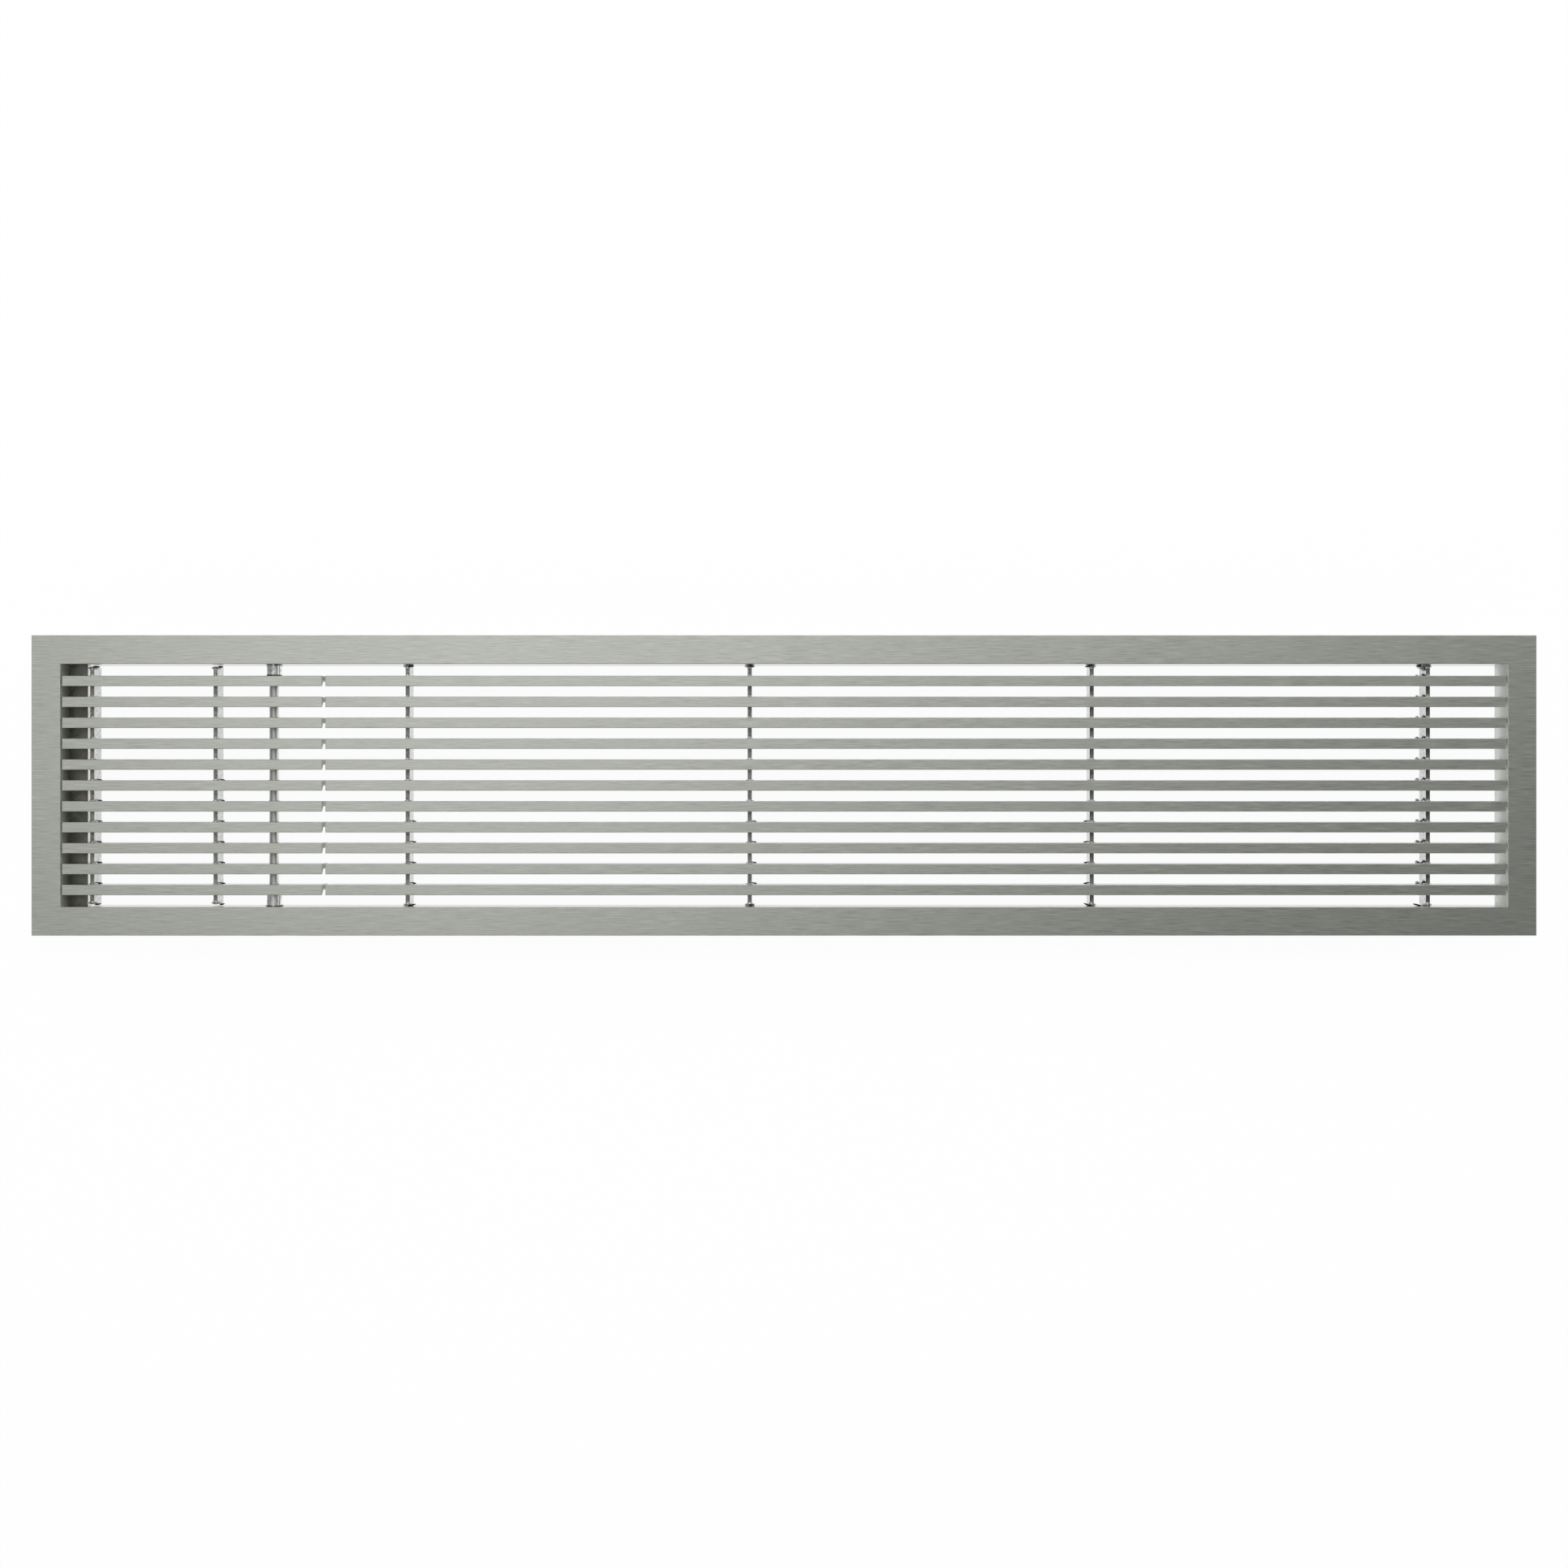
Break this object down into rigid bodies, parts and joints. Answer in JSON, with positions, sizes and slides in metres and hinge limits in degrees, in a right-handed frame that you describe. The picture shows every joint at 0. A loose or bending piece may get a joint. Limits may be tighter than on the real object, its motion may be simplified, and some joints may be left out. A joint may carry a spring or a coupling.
{
  "type": "bar grille",
  "caption": "Long flanged bar grille for air: straight parallel bars on slotted crossbars, with a short access door on a pivot rod at one end.",
  "frame": {"origin": "middle of the grille's back, in the plane of the frame's back edges", "axes": "+X runs along the bars away from the access door, +Y runs across the bars towards the side their bodies are flush with, +Z points out of the grille's face"},
  "size_m": [0.9144, 0.1826, 0.0254],
  "materials": {
    "satin_aluminium": "satin, brushed lengthwise",
    "plain_aluminium": "plain mill finish",
    "stop_strip": "dull, dark",
    "round_rod": "drawn, smooth",
    "polished_bushing": "turned, bright"
  },
  "bodies": {
    "frame_body": {"frame_top": "satin_aluminium", "frame_bottom": "satin_aluminium", "frame_left": "satin_aluminium", "frame_right": "satin_aluminium", "door_stop": "stop_strip", "fixed_bar_01": "satin_aluminium", "fixed_bar_02": "satin_aluminium", "fixed_bar_03": "satin_aluminium", "fixed_bar_04": "satin_aluminium", "fixed_bar_05": "satin_aluminium", "fixed_bar_06": "satin_aluminium", "fixed_bar_07": "satin_aluminium", "fixed_bar_08": "satin_aluminium", "fixed_bar_09": "satin_aluminium", "fixed_bar_10": "satin_aluminium", "fixed_bar_11": "satin_aluminium", "fixed_crossbar_01": "plain_aluminium", "fixed_crossbar_02": "plain_aluminium", "fixed_crossbar_03": "plain_aluminium", "fixed_crossbar_04": "plain_aluminium", "pivot_bushing_top": "polished_bushing", "pivot_bushing_bottom": "polished_bushing"},
    "door_body": {"door_bar_01": "satin_aluminium", "door_bar_02": "satin_aluminium", "door_bar_03": "satin_aluminium", "door_bar_04": "satin_aluminium", "door_bar_05": "satin_aluminium", "door_bar_06": "satin_aluminium", "door_bar_07": "satin_aluminium", "door_bar_08": "satin_aluminium", "door_bar_09": "satin_aluminium", "door_bar_10": "satin_aluminium", "door_bar_11": "satin_aluminium", "door_crossbar_01": "plain_aluminium", "door_crossbar_02": "plain_aluminium", "pivot_rod": "round_rod"}
  },
  "joints": [
    {"name": "door_hinge", "type": "hinge", "parent": "frame_body", "child": "door_body", "pos_m": [-0.3117, 0, 0.0159], "axis": [0, 1, 0], "range_deg": [0, 145]}
  ]
}
